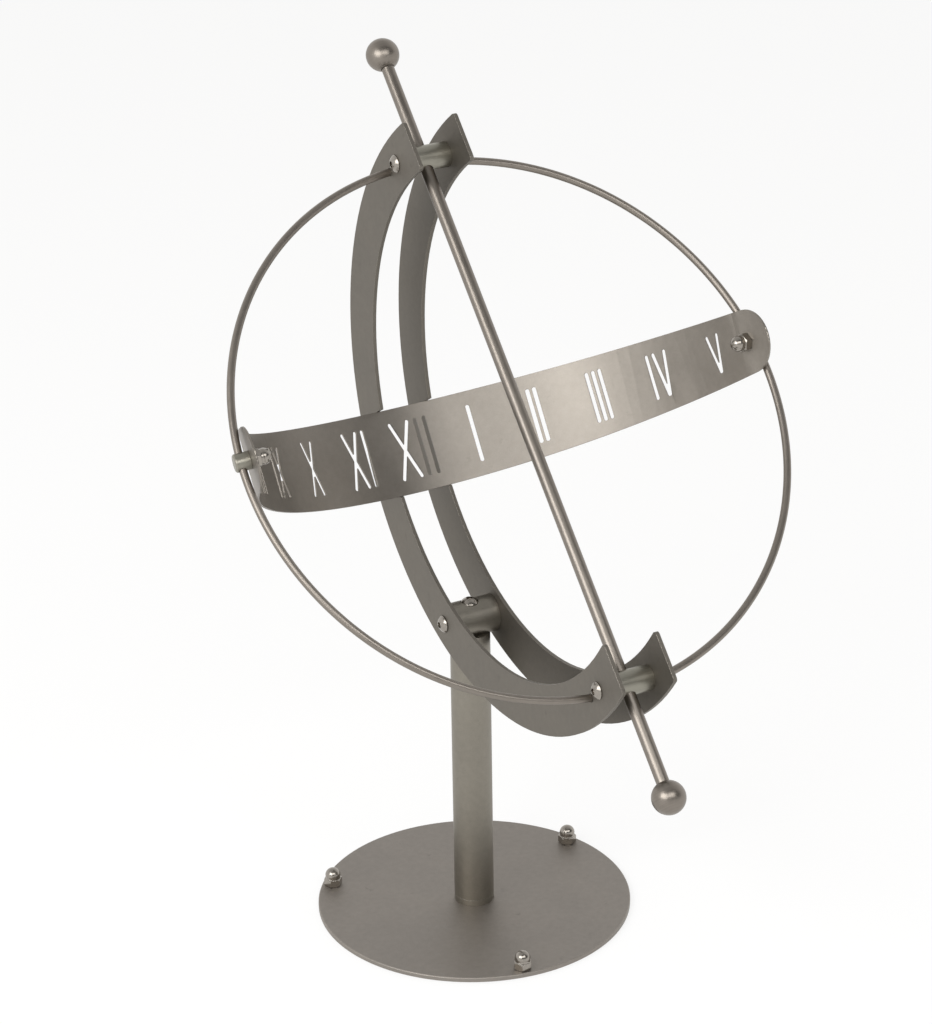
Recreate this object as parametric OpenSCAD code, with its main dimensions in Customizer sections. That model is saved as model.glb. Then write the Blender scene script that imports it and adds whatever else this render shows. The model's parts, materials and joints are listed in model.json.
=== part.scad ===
// Armillary garden sundial in stainless steel, with a head that tilts to the latitude.
// +X is east, +Y is north and +Z is up. The origin is on the post's axis, on the ground.
// The head has its own directions. x is east, g runs up along the rod, and p is square
// to both, from the rod towards the noon mark. Head coordinates are written [x, g, -p].

/* [Base] */
// Diameter of the round base plate
base_d = 254; // [240:1:320]
// Thickness of the base plate
base_t = 4; // [4:0.5:8]
// Distance of the three base screws from the plate's edge
base_screw_edge = 9; // [9:0.5:30]
// Direction of the first base screw, counted from east
base_screw_turn = 21; // [0:1:119]
// Chamfer round the base plate's edges
base_chamfer = 0.5; // [0.2:0.1:1]

/* [Post] */
// Outer diameter of the post tube
post_d = 32; // [28:0.5:34]
// Wall of the post tube
post_wall = 2; // [1.5:0.1:3]
// Height of the tilt axis above the ground
pivot_z = 257.5; // [200:0.5:320]
// Thickness of the stub's flange under the tube
stub_flange_t = 5; // [3:0.5:8]
// Length of the stub's spigot inside the tube
stub_spigot_l = 30; // [20:1:50]
// Length of the plug in the tube's top
saddle_plug_l = 30; // [20:1:50]
// Diameter of the pivot bar across the post's top
pivot_bar_d = 30; // [24:0.5:32]
// Depth of the saddle that the pivot bar lies in
saddle_depth = 4; // [2:0.5:5]
// Height of the set screw above the stub's flange
set_screw_rise = 12; // [8:0.5:20]
// Thread diameter of the set screw
set_screw_d = 6; // [4:1:6]

/* [Side plates] */
// Elevation of the rod, which is set to the latitude
latitude = 45; // [20:1:70]
// Clear width between the two side plates
plate_gap = 40; // [38:1:60]
// Thickness of a side plate
plate_t = 3; // [2:0.5:5]
// Outer radius of the side plates
plate_outer_r = 240; // [232:1:250]
// Width of the side plates
plate_w = 40; // [36:1:46]
// Distance from the rod to the centre of the plates' arcs
plate_centre_p = 4; // [0:0.5:8]
// Distance from the rod to the plates' straight ends
plate_end_p = 36; // [24:1:50]
// Radius of the plates' corners
plate_corner_r = 3; // [1:0.5:5]
// Distance of the pivot hole from the plates' outer edge
pivot_hole_edge = 18; // [14:0.5:22]
// Angle of the pivot hole from the middle of the plates
pivot_hole_turn = 22; // [15:1:35]

/* [Rod and bars] */
// Diameter of the shadow rod
rod_d = 10; // [8:0.5:12]
// Distance of the ball centres from the ring's centre
ball_reach = 311; // [290:1:330]
// Diameter of the balls
ball_d = 26; // [20:0.5:34]
// Depth of the rod's socket past the ball's centre
ball_socket_past = 3; // [0:0.5:5]
// Diameter of the two cross bars
cross_bar_d = 20; // [18:0.5:24]

/* [Half rings] */
// Diameter of the ring wire
wire_d = 6; // [5:0.5:7]
// How far the ring's radius exceeds the plates' middle radius
ring_over_plate = 1.5; // [0:0.1:4]
// Distance of the ring's plane from the rod
ring_p = 15; // [13.5:0.5:20]

/* [Hour band] */
// Thickness of the hour band
band_t = 1.5; // [1:0.1:3]
// Half the width of the band at noon
band_half_noon = 35; // [28:0.5:38]
// Half the width of the band at its ends
band_half_end = 25; // [20:0.5:28]
// Distance of the band from its own centre at noon
band_noon = 200; // [198:0.5:202]
// Distance from the ring's wire to the band along the clamp bolts
band_to_ring = 7.6; // [7.2:0.1:9]
// Angle of the band's tight middle arc on each side of noon
band_arc_angle = 49; // [44:0.5:56]
// Angle between noon and the band's ends, as the band is bent
band_end_angle = 76; // [74:0.5:80]
// Tilt of the band towards the upper end of the rod
band_tilt = 12.2; // [0:0.1:13]
// Roll of the band about its noon line
band_roll = 0.75; // [-2:0.01:2]
// Shift of the band's centre along the rod
band_shift_g = 17.5; // [0:0.5:24]
// Shift of the band's centre away from the rod
band_shift_p = 1; // [0:0.5:4]

/* [Numerals] */
// Distance between the hours along the middle of the band
hour_step = 52.6; // [50:0.1:53]
// Distance between the hours towards the band's ends
end_hour_step = 56.6; // [52:0.1:57]
// Distance from the numerals to the band's edges
numeral_margin = 11.2; // [9:0.1:14]
// Width of the cut strokes
stroke_w = 3.3; // [1.5:0.1:3.6]
// Spacing of strokes that stand side by side
stroke_gap = 5.6; // [4.5:0.1:6]
// Half the width of a V
v_half = 5.2; // [4:0.1:6]
// Half the distance between the feet of a V's two strokes
v_foot = 0.5; // [0.3:0.1:1.5]
// Half the width of an X
x_half = 5.8; // [4:0.1:8]

/* [Fasteners] */
// Thread diameter of the screws
screw_d = 8; // [6:0.5:8]
// Diameter of the button heads
button_d = 14; // [12:0.5:15]
// Height of the button heads
button_h = 4.4; // [3:0.1:5]
// Straight edge under the dome of a button head
button_edge = 0.8; // [0.4:0.1:1.5]
// Width across the flats of the hexagon sockets
socket_af = 5; // [3:0.5:5]
// Depth of the hexagon sockets
socket_depth = 2.5; // [1.5:0.1:3]
// Diameter of the countersunk heads under the base
sunk_d = 14.8; // [13:0.1:15]
// Depth of the countersunk heads above the ground
sunk_recess = 0.2; // [0.1:0.1:0.5]
// Width across the flats of the cap nuts
nut_af = 13; // [12.5:0.5:14]
// Height of the cap nuts' hexagon
nut_hex_h = 6.5; // [5:0.5:8]
// Height of the cap nuts
nut_h = 15; // [14:0.5:17]
// Diameter of the cap nuts' dome
nut_dome_d = 12.5; // [11:0.5:12.5]
// Length of thread inside a cap nut
nut_thread_l = 10.5; // [8:0.5:11]
// Diameter of the clamp bolts' heads
clamp_d = 14; // [12:0.5:18]
// Length of the clamp bolts' heads
clamp_l = 12; // [11.5:0.1:13]
// Chamfer of the clamp bolts' heads
clamp_chamfer = 1; // [0.5:0.1:1.5]

/* [Fits] */
// Radial clearance of a thread, a spigot or a socket
fit_clear = 0.05; // [0.03:0.01:0.08]
// Radial clearance of a screw that turns or passes through
run_clear = 0.1; // [0.06:0.01:0.1]
// Gap between flat faces that turn on each other
face_clear = 0.1; // [0.05:0.05:0.3]
// Gap between a screw's tip and what it holds
tip_clear = 0.1; // [0.05:0.05:0.3]
// Gap round the hour band in the plates' notches
notch_clear = 0.3; // [0.2:0.1:0.6]

/* [Hidden] */
$fn = 96;

satin = [0.50, 0.48, 0.44];
bright = [0.66, 0.64, 0.60];
polished = [0.76, 0.75, 0.73];
over = 1;
arc_fn = 360;
arc_join = 0.02;
tip_chamfer = 0.8;
sides = [-1, 1];

base_screw_r = base_d / 2 - base_screw_edge;
screw_turns = [0, 120, 240];
tube_id = post_d - 2 * post_wall;
spigot_d = tube_id - 2 * fit_clear;
foot_spigot_d = tube_id - 2 * run_clear;
stub_top = base_t + stub_flange_t;
tube_z0 = stub_top + face_clear;
saddle_r = pivot_bar_d / 2 + fit_clear;
tube_z1 = pivot_z - saddle_r + saddle_depth;
pivot_bar_l = plate_gap - 2 * face_clear;
bar_flat_drop = pivot_bar_d / 2 - sqrt(pow(pivot_bar_d / 2, 2) - pow(button_d / 2, 2));
bar_flat_z = pivot_z + pivot_bar_d / 2 - bar_flat_drop;
side_screw_tip_x = screw_d / 2 + 3;
top_screw_tip_z = tube_z1 - 0.8 * saddle_plug_l;

plate_inner_r = plate_outer_r - plate_w;
plate_mid_r = plate_outer_r - plate_w / 2;
plate_x0 = plate_gap / 2;
plate_x1 = plate_x0 + plate_t;
pivot_hole_r = plate_outer_r - pivot_hole_edge;
pivot_g = -pivot_hole_r * sin(pivot_hole_turn);
pivot_p = plate_centre_p + pivot_hole_r * cos(pivot_hole_turn);
bar_g = sqrt(pow(plate_mid_r, 2) - pow(plate_centre_p, 2));
rod_half = ball_reach + ball_socket_past;

ring_r = plate_mid_r + ring_over_plate;
ring_end_turn = asin(plate_x0 / ring_r);
wire_slant = asin((plate_x0 + plate_x1) / 2 / ring_r);
wire_hole_g = ring_r * cos(wire_slant);
wire_hole_d = wire_d / cos(wire_slant) + plate_t * tan(wire_slant) + 2 * fit_clear;

ring_cross_p = (ring_p - band_shift_p) / cos(band_tilt);
ring_cross_x = sqrt(pow(ring_r, 2) - pow(band_shift_g + ring_cross_p * sin(band_tilt), 2));
band_end_x = ring_cross_x - band_to_ring * sin(band_end_angle);
band_end_p = ring_cross_p - band_to_ring * cos(band_end_angle);

// A tight arc in the middle and a wider one on each side meet smoothly and pass through the ends
mid_x_share = sin(band_arc_angle);
mid_p_share = 1 - cos(band_arc_angle);
side_x_share = sin(band_end_angle) - sin(band_arc_angle);
side_p_share = cos(band_arc_angle) - cos(band_end_angle);
share_k = mid_x_share * side_p_share - side_x_share * mid_p_share;
mid_arc_r = (band_end_x * side_p_share - (band_noon - band_end_p) * side_x_share) / share_k;
side_arc_r = ((band_noon - band_end_p) * mid_x_share - band_end_x * mid_p_share) / share_k;
mid_arc_p = band_noon - mid_arc_r;
mid_arc_l = mid_arc_r * band_arc_angle * PI / 180;
side_arc_x = (mid_arc_r - side_arc_r) * sin(band_arc_angle);
side_arc_p = mid_arc_p + (mid_arc_r - side_arc_r) * cos(band_arc_angle);
band_cut_depth = 12;

// Where the ring crosses the band's middle plane, from the arcs' own centres
function clamp_p(s) =
    (ring_p - band_shift_p + s * ring_r * sin(band_roll) * sin(band_tilt)) / cos(band_tilt);
function clamp_g(s) =
    band_shift_g + s * ring_r * sin(band_roll) * cos(band_tilt) + clamp_p(s) * sin(band_tilt);
function clamp_x(s) = sqrt(pow(ring_r, 2) - pow(clamp_g(s), 2)) / cos(band_roll);
function clamp_r(s) = sqrt(pow(clamp_x(s) - side_arc_x, 2) + pow(clamp_p(s) - side_arc_p, 2));
function clamp_turn(s) = atan2(clamp_x(s) - side_arc_x, clamp_p(s) - side_arc_p);
function band_half(p) =
    band_half_end + (band_half_noon - band_half_end) * (p - band_end_p) / (band_noon - band_end_p);

// Places a child from the head's own directions into the whole object
module in_head() {
    translate([0, 0, pivot_z])
        rotate([latitude, 0, 0])
            translate([0, -pivot_g, pivot_p])
                children();
}

// Turns a child that is drawn as [x, p, g] into the hour band's place on the head
module in_band() {
    translate([0, band_shift_g, -band_shift_p])
        rotate([band_tilt, 0, 0])
            rotate([0, 0, band_roll])
                rotate([-90, 0, 0])
                    children();
}

// Points a child's +Z outwards along +X or -X
module outwards(s) {
    rotate([0, s * 90, 0])
        children();
}

module hex_socket() {
    translate([0, 0, -over])
        cylinder(d = 2 * socket_af / sqrt(3), h = socket_depth + over, $fn = 6);
}

// Plain shank from z = 0 down to -length, with a chamfered tip
module shank(d, length) {
    translate([0, 0, tip_chamfer - length])
        cylinder(d = d, h = length - tip_chamfer);
    translate([0, 0, -length])
        cylinder(d1 = d - 2 * tip_chamfer, d2 = d, h = tip_chamfer);
}

// Button-head screw that seats at z = 0 with its shank below
module button_screw(length) {
    dome_h = button_h - button_edge;
    dome_r = (pow(button_d / 2, 2) + pow(dome_h, 2)) / (2 * dome_h);
    difference() {
        intersection() {
            cylinder(d = button_d, h = button_h);
            translate([0, 0, button_h - dome_r])
                sphere(r = dome_r);
        }
        translate([0, 0, button_h])
            mirror([0, 0, 1])
                hex_socket();
    }
    shank(screw_d, length);
}

// Cap nut that seats at z = 0 with its dome above
module cap_nut() {
    corner_r = nut_af / sqrt(3);
    edge = (corner_r - nut_af / 2) / 2;
    difference() {
        union() {
            intersection() {
                cylinder(r = corner_r, h = nut_hex_h, $fn = 6);
                union() {
                    cylinder(r1 = corner_r - 2 * edge, r2 = corner_r, h = edge);
                    translate([0, 0, edge])
                        cylinder(r = corner_r, h = nut_hex_h - 2 * edge);
                    translate([0, 0, nut_hex_h - edge])
                        cylinder(r1 = corner_r, r2 = corner_r - 2 * edge, h = edge);
                }
            }
            cylinder(d = nut_dome_d, h = nut_h - nut_dome_d / 2);
            translate([0, 0, nut_h - nut_dome_d / 2])
                sphere(d = nut_dome_d);
        }
        translate([0, 0, -over])
            cylinder(d = screw_d + 2 * fit_clear, h = nut_thread_l + over);
    }
}

module at_base_screws() {
    for (turn = screw_turns)
        rotate([0, 0, base_screw_turn + turn])
            translate([base_screw_r, 0, 0])
                children();
}

module base_plate() {
    seat_d = sunk_d + 2 * sunk_recess + 2 * fit_clear;
    color(satin)
        difference() {
            union() {
                cylinder(d1 = base_d - 2 * base_chamfer, d2 = base_d, h = base_chamfer);
                translate([0, 0, base_chamfer])
                    cylinder(d = base_d, h = base_t - 2 * base_chamfer);
                translate([0, 0, base_t - base_chamfer])
                    cylinder(d1 = base_d, d2 = base_d - 2 * base_chamfer, h = base_chamfer);
            }
            at_base_screws() {
                translate([0, 0, -over])
                    cylinder(d = screw_d + 2 * run_clear, h = base_t + 2 * over);
                cylinder(d1 = seat_d, d2 = 0.2, h = (seat_d - 0.2) / 2);
            }
        }
}

module base_screws() {
    head_h = (sunk_d - screw_d) / 2;
    tip_z = base_t + nut_thread_l - tip_clear;
    color(polished)
        at_base_screws()
            difference() {
                union() {
                    translate([0, 0, sunk_recess])
                        cylinder(d1 = sunk_d, d2 = screw_d, h = head_h);
                    translate([0, 0, tip_z])
                        shank(screw_d, tip_z - sunk_recess);
                }
                translate([0, 0, sunk_recess])
                    hex_socket();
            }
}

module base_cap_nuts() {
    color(polished)
        at_base_screws()
            translate([0, 0, base_t])
                cap_nut();
}

module foot_stub() {
    color(satin)
        union() {
            translate([0, 0, base_t])
                cylinder(d = post_d, h = stub_flange_t);
            translate([0, 0, stub_top])
                cylinder(d = foot_spigot_d, h = stub_spigot_l - tip_chamfer);
            translate([0, 0, stub_top + stub_spigot_l - tip_chamfer])
                cylinder(d1 = foot_spigot_d, d2 = foot_spigot_d - 2 * tip_chamfer, h = tip_chamfer);
        }
}

// Groove along X that the pivot bar lies in
module saddle_cut() {
    translate([0, 0, pivot_z])
        rotate([0, 90, 0])
            cylinder(r = saddle_r, h = post_d + 2 * over, center = true);
}

module post_tube() {
    color(satin)
        difference() {
            translate([0, 0, tube_z0])
                cylinder(d = post_d, h = tube_z1 - tube_z0);
            translate([0, 0, tube_z0 - over])
                cylinder(d = tube_id, h = tube_z1 - tube_z0 + 2 * over);
            translate([0, tube_id / 2 - over, stub_top + set_screw_rise])
                rotate([-90, 0, 0])
                    cylinder(d = set_screw_d + 2 * fit_clear, h = post_wall + 2 * over);
            saddle_cut();
        }
}

module foot_set_screw() {
    tip_y = foot_spigot_d / 2 + tip_clear;
    length = post_d / 2 - tip_y;
    color(polished)
        translate([0, tip_y, stub_top + set_screw_rise])
            rotate([-90, 0, 0])
                difference() {
                    cylinder(d = set_screw_d, h = length);
                    translate([0, 0, length / 3])
                        cylinder(d = set_screw_d / sqrt(3), h = length, $fn = 6);
                }
}

module saddle_plug() {
    color(satin)
        difference() {
            translate([0, 0, tube_z1 - saddle_plug_l])
                cylinder(d = spigot_d, h = saddle_plug_l);
            translate([0, 0, tube_z1 - saddle_plug_l - over])
                cylinder(d = screw_d + 2 * fit_clear, h = saddle_plug_l + 2 * over);
            saddle_cut();
        }
}

module pivot_bar() {
    color(satin)
        difference() {
            translate([0, 0, pivot_z])
                rotate([0, 90, 0])
                    cylinder(d = pivot_bar_d, h = pivot_bar_l, center = true);
            translate([0, 0, pivot_z - pivot_bar_d])
                cylinder(d = screw_d + 2 * run_clear, h = 2 * pivot_bar_d);
            translate([0, 0, bar_flat_z])
                cylinder(d = button_d + 2 * run_clear, h = pivot_bar_d);
            for (s = sides)
                translate([s * (side_screw_tip_x - tip_clear), 0, pivot_z])
                    outwards(s)
                        cylinder(d = screw_d + 2 * fit_clear, h = plate_gap);
        }
}

module pivot_top_screw() {
    color(polished)
        translate([0, 0, bar_flat_z])
            button_screw(bar_flat_z - top_screw_tip_z);
}

module pivot_side_screws() {
    color(polished)
        for (s = sides)
            translate([s * (plate_x1 + face_clear), 0, pivot_z])
                outwards(s)
                    button_screw(plate_x1 + face_clear - side_screw_tip_x);
}

// Waste outside a rounded corner, where an arc of the plate meets its straight end
module corner_waste(arc_r, inward) {
    fillet_r = arc_r + inward * plate_corner_r;
    fillet_z = plate_end_p - plate_corner_r;
    fillet_y = sqrt(pow(fillet_r, 2) - pow(fillet_z + plate_centre_p, 2));
    corner_y = sqrt(pow(arc_r, 2) - pow(plate_end_p + plate_centre_p, 2));
    k = arc_r / fillet_r;
    difference() {
        polygon([
            [corner_y - inward * over, plate_end_p + over],
            [fillet_y, plate_end_p],
            [fillet_y, fillet_z],
            [fillet_y * k, (fillet_z + plate_centre_p) * k - plate_centre_p]
        ]);
        translate([fillet_y, fillet_z])
            circle(r = plate_corner_r);
    }
}

module plate_outline() {
    difference() {
        translate([0, -plate_centre_p])
            circle(r = plate_outer_r, $fn = arc_fn);
        translate([0, -plate_centre_p])
            circle(r = plate_inner_r, $fn = arc_fn);
        translate([-2 * plate_outer_r, plate_end_p])
            square([4 * plate_outer_r, 2 * plate_outer_r]);
        for (side = [0, 1])
            mirror([side, 0]) {
                corner_waste(plate_outer_r, -1);
                corner_waste(plate_inner_r, 1);
            }
    }
}

// One crescent plate, on the west for s = -1 and on the east for s = 1
module side_plate(s) {
    notch_half = band_half_noon + notch_clear;
    notch_p = band_noon + band_t / 2 + notch_clear - pow(plate_x0, 2) / (2 * mid_arc_r);
    in_head()
        difference() {
            translate([s * (plate_x0 + plate_x1) / 2 - plate_t / 2, 0, 0])
                rotate([90, 0, 90])
                    linear_extrude(height = plate_t)
                        plate_outline();
            for (g = [-bar_g, bar_g])
                translate([0, g, 0])
                    outwards(s)
                        cylinder(d = screw_d + 2 * run_clear, h = 2 * plate_x1);
            for (g = [-wire_hole_g, wire_hole_g])
                translate([0, g, -ring_p])
                    outwards(s)
                        cylinder(d = wire_hole_d, h = 2 * plate_x1);
            translate([0, pivot_g, -pivot_p])
                outwards(s)
                    cylinder(d = screw_d + 2 * run_clear, h = 2 * plate_x1);
            in_band()
                translate([-2 * plate_x1, notch_p - 2 * notch_half, -notch_half])
                    cube([4 * plate_x1, 2 * notch_half, 2 * notch_half]);
        }
}

module west_plate() {
    color(satin)
        side_plate(-1);
}

module east_plate() {
    color(satin)
        side_plate(1);
}

// Cross bar between the plates, at the distance g along the rod
module cross_bar(g) {
    in_head()
        translate([0, g, 0])
            difference() {
                rotate([0, 90, 0])
                    cylinder(d = cross_bar_d, h = plate_gap, center = true);
                rotate([90, 0, 0])
                    cylinder(d = rod_d + 2 * fit_clear, h = 2 * cross_bar_d, center = true);
                rotate([0, 90, 0])
                    cylinder(d = screw_d + 2 * fit_clear, h = 2 * plate_gap, center = true);
            }
}

module upper_cross_bar() {
    color(bright)
        cross_bar(bar_g);
}

module lower_cross_bar() {
    color(bright)
        cross_bar(-bar_g);
}

module cross_bar_screws() {
    color(polished)
        in_head()
            for (g = [-bar_g, bar_g])
                for (s = sides)
                    translate([s * plate_x1, g, 0])
                        outwards(s)
                            button_screw(plate_x1 - rod_d / 2 - tip_clear);
}

module gnomon_rod() {
    color(bright)
        in_head()
            rotate([90, 0, 0])
                cylinder(d = rod_d, h = 2 * rod_half, center = true);
}

// Ball on the rod's end, on the upper end for s = 1 and on the lower end for s = -1
module rod_ball(s) {
    in_head()
        translate([0, s * ball_reach, 0])
            rotate([s * 90, 0, 0])
                difference() {
                    sphere(d = ball_d);
                    translate([0, 0, -ball_socket_past - tip_clear])
                        cylinder(d = rod_d + 2 * fit_clear, h = ball_d);
                }
}

module upper_ball() {
    color(bright)
        rod_ball(1);
}

module lower_ball() {
    color(bright)
        rod_ball(-1);
}

// Half ring of bent wire, on the west for s = -1 and on the east for s = 1
module half_ring(s) {
    in_head()
        translate([0, 0, -ring_p])
            rotate([0, 0, ring_end_turn - s * 90])
                rotate_extrude(angle = 180 - 2 * ring_end_turn, $fn = arc_fn)
                    translate([ring_r, 0])
                        circle(d = wire_d, $fn = 48);
}

module west_half_ring() {
    color(bright)
        half_ring(-1);
}

module east_half_ring() {
    color(bright)
        half_ring(1);
}

// Turns a child's +Z outwards from the side arc's centre, on the west for s = -1 and on the east for s = 1
module from_side_arc(s, turn) {
    translate([s * side_arc_x, side_arc_p, 0])
        rotate([0, 0, -s * turn])
            rotate([-90, 0, 0])
                children();
}

// Solid under the band's curve, drawn out to the distance o from the middle of the strip
module under_band(o) {
    width = 4 * band_half_noon;
    join_x = (mid_arc_r + o) * sin(band_arc_angle);
    translate([0, mid_arc_p, 0])
        cylinder(r = mid_arc_r + o, h = width, center = true, $fn = arc_fn);
    for (s = sides)
        intersection() {
            translate([s * side_arc_x, side_arc_p, 0])
                cylinder(r = side_arc_r + o + arc_join, h = width, center = true, $fn = arc_fn);
            translate([(s - 1) / 2 * side_arc_r + s * join_x, -side_arc_r, -width])
                cube([side_arc_r, 3 * side_arc_r, 2 * width]);
        }
}

module band_strip() {
    difference() {
        under_band(band_t / 2);
        under_band(-band_t / 2);
    }
}

// Side view of the band, with its slanting edges and round ends
module band_edges() {
    far_p = band_noon + band_half_noon;
    rotate([90, 0, 90])
        linear_extrude(height = 4 * band_end_x, center = true) {
            polygon([
                [band_end_p, -band_half_end],
                [far_p, -band_half(far_p)],
                [far_p, band_half(far_p)],
                [band_end_p, band_half_end]
            ]);
            translate([band_end_p, 0])
                circle(r = band_half_end);
        }
}

// The angle from noon at the length at along the band
function band_turn(at) = abs(at) < mid_arc_l ?
    at / mid_arc_r * 180 / PI :
    sign(at) * (band_arc_angle + (abs(at) - mid_arc_l) / side_arc_r * 180 / PI);

// The length along the band at so many hours from noon, where the last two hours stand wider
function hour_at(hours) =
    sign(hours) * (min(abs(hours), 3) * hour_step + max(abs(hours) - 3, 0) * end_hour_step);

// Puts a child on the middle of the strip, at the length at along the band
module on_band(at) {
    middle = abs(at) < mid_arc_l;
    translate(middle ? [0, mid_arc_p, 0] : [sign(at) * side_arc_x, side_arc_p, 0])
        rotate([0, 0, -band_turn(at)])
            translate([0, middle ? mid_arc_r : side_arc_r, 0])
                children();
}

// Stroke cut square through the band, from u0 at its foot to u1 at its top, for a numeral of height h
module stroke(at, u0, u1, h) {
    slant_l = sqrt(pow(u1 - u0, 2) + pow(h - stroke_w, 2));
    lean = atan2(u1 - u0, h - stroke_w);
    on_band(at + (u0 + u1) / 2)
        rotate([0, lean, 0]) {
            cube([stroke_w, band_cut_depth, slant_l], center = true);
            for (s = sides)
                translate([0, 0, s * slant_l / 2])
                    rotate([90, 0, 0])
                        cylinder(d = stroke_w + 2 * arc_join, h = band_cut_depth, center = true);
        }
}

// The strokes [foot, top] of a straight line, a V and an X about u
function i_strokes(u) = [[u, u]];
function v_strokes(u) = [[u - v_foot, u - v_half], [u + v_foot, u + v_half]];
function x_strokes(u, half) = [[u - half, u + half], [u + half, u - half]];

// Numerals from seven in the morning, which is five hours before noon, to five in the afternoon
NUMERALS = [
    concat(v_strokes(-v_half), i_strokes(v_half), i_strokes(v_half + stroke_gap)),
    concat(v_strokes(-1.5 * v_half), i_strokes(0.5 * v_half),
        i_strokes(0.5 * v_half + stroke_gap), i_strokes(0.5 * v_half + 2 * stroke_gap)),
    concat(i_strokes(-x_half - stroke_gap / 3), x_strokes(stroke_gap / 2, 0.86 * x_half)),
    x_strokes(0, x_half),
    concat(x_strokes(-0.6 * stroke_gap, 1.14 * x_half), i_strokes(1.8 * stroke_gap)),
    concat(x_strokes(-1.35 * stroke_gap, 1.35 * x_half), i_strokes(1.3 * stroke_gap),
        i_strokes(2.7 * stroke_gap)),
    i_strokes(0),
    concat(i_strokes(-stroke_gap / 2), i_strokes(stroke_gap / 2)),
    concat(i_strokes(-stroke_gap), i_strokes(0), i_strokes(stroke_gap)),
    concat(i_strokes(-1.6 * v_half), v_strokes(0.6 * v_half)),
    v_strokes(0)
];

module numerals() {
    for (i = [0 : len(NUMERALS) - 1]) {
        at = hour_at(i - 5);
        p = abs(at) < mid_arc_l ? mid_arc_p + mid_arc_r * cos(band_turn(at)) :
            side_arc_p + side_arc_r * cos(band_turn(at));
        for (pair = NUMERALS[i])
            stroke(at, pair[0], pair[1], 2 * (band_half(p) - numeral_margin));
    }
}

module hour_band() {
    color(satin)
        in_head()
            in_band()
                difference() {
                    intersection() {
                        band_strip();
                        band_edges();
                    }
                    for (s = sides)
                        from_side_arc(s, clamp_turn(s))
                            translate([0, 0, side_arc_r - band_cut_depth])
                                cylinder(d = screw_d + 2 * run_clear, h = 2 * band_cut_depth);
                    numerals();
                }
}

// Bolt with a cross-drilled head that holds the ring, on the west for s = -1 and on the east for s = 1
module clamp_bolt(s) {
    seat_r = side_arc_r + band_t / 2 + face_clear;
    shank_l = seat_r - (side_arc_r - band_t / 2) + nut_thread_l - tip_clear;
    in_head()
        difference() {
            in_band()
                from_side_arc(s, clamp_turn(s))
                    translate([0, 0, seat_r]) {
                        cylinder(d = clamp_d, h = clamp_l - clamp_chamfer);
                        translate([0, 0, clamp_l - clamp_chamfer])
                            cylinder(d1 = clamp_d, d2 = clamp_d - 2 * clamp_chamfer, h = clamp_chamfer);
                        shank(screw_d, shank_l);
                    }
            translate([0, 0, -ring_p])
                mirror([s < 0 ? 1 : 0, 0, 0])
                    rotate([0, 0, asin(clamp_g(s) / ring_r)])
                        translate([ring_r, 0, 0])
                            rotate([90, 0, 0])
                                cylinder(d = wire_d + 4 * run_clear, h = 2 * clamp_d, center = true);
        }
}

module west_clamp_bolt() {
    color(bright)
        clamp_bolt(-1);
}

module east_clamp_bolt() {
    color(bright)
        clamp_bolt(1);
}

module band_cap_nuts() {
    color(polished)
        in_head()
            in_band()
                for (s = sides)
                    from_side_arc(s, clamp_turn(s))
                        translate([0, 0, side_arc_r - band_t / 2])
                            rotate([180, 0, 0])
                                cap_nut();
}

base_plate();
foot_stub();
base_screws();
base_cap_nuts();
post_tube();
foot_set_screw();
saddle_plug();
pivot_bar();
pivot_top_screw();
pivot_side_screws();
west_plate();
east_plate();
upper_cross_bar();
lower_cross_bar();
cross_bar_screws();
gnomon_rod();
upper_ball();
lower_ball();
west_half_ring();
east_half_ring();
hour_band();
west_clamp_bolt();
east_clamp_bolt();
band_cap_nuts();
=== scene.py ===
# %% [markdown]
# # A stainless steel armillary sundial
# The sundial stands on a round plate. A post carries two crescent plates, and between them
# runs the rod that casts the shadow. Half rings of wire and a band with cut-out hours go
# round the rod. Everything is stainless steel, so this lesson is about one metal in many
# finishes: blasted sheet, drawn bar and wire, turned balls and polished fasteners. It also
# makes the round pieces and the fasteners again with finer facets, and gives the rolled
# band its exact curve, because shiny steel shows every facet.

# %% Load the construction
import json
import math

import bmesh
import bpy
from mathutils import Matrix, Vector


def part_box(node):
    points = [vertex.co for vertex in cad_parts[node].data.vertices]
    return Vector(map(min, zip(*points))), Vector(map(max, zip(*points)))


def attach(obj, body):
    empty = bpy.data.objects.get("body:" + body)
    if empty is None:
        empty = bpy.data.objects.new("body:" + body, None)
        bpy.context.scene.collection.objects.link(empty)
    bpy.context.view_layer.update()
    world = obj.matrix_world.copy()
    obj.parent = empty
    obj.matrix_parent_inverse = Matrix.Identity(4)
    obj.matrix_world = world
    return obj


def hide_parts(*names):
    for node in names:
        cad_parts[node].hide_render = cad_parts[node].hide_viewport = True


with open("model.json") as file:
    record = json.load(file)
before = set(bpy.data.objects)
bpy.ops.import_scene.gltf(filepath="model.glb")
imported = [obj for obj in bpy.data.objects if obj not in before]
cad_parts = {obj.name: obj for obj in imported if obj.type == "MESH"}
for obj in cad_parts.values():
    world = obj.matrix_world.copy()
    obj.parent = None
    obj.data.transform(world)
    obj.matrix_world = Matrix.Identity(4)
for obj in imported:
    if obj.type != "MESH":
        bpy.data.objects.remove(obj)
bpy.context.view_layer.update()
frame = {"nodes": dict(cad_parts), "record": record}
nodes = frame["nodes"]
scene = bpy.context.scene
BODY_OF = {node: body for body, held in frame["record"]["behaviour"]["bodies"].items()
           for node in held}
print("pieces in the construction:", len(nodes))

# %% [markdown]
# Every length in this file is written in millimetres, because that is how a metalworker
# reads a drawing. Blender works in metres, so one small constant turns one into the other.
# Only the studio's own sizes are in metres. Colours are written as the hex values that a
# screen shows. Blender's shaders want linear light, so one function does the turning.

# %% Units and colours
MM = 0.001


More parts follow.
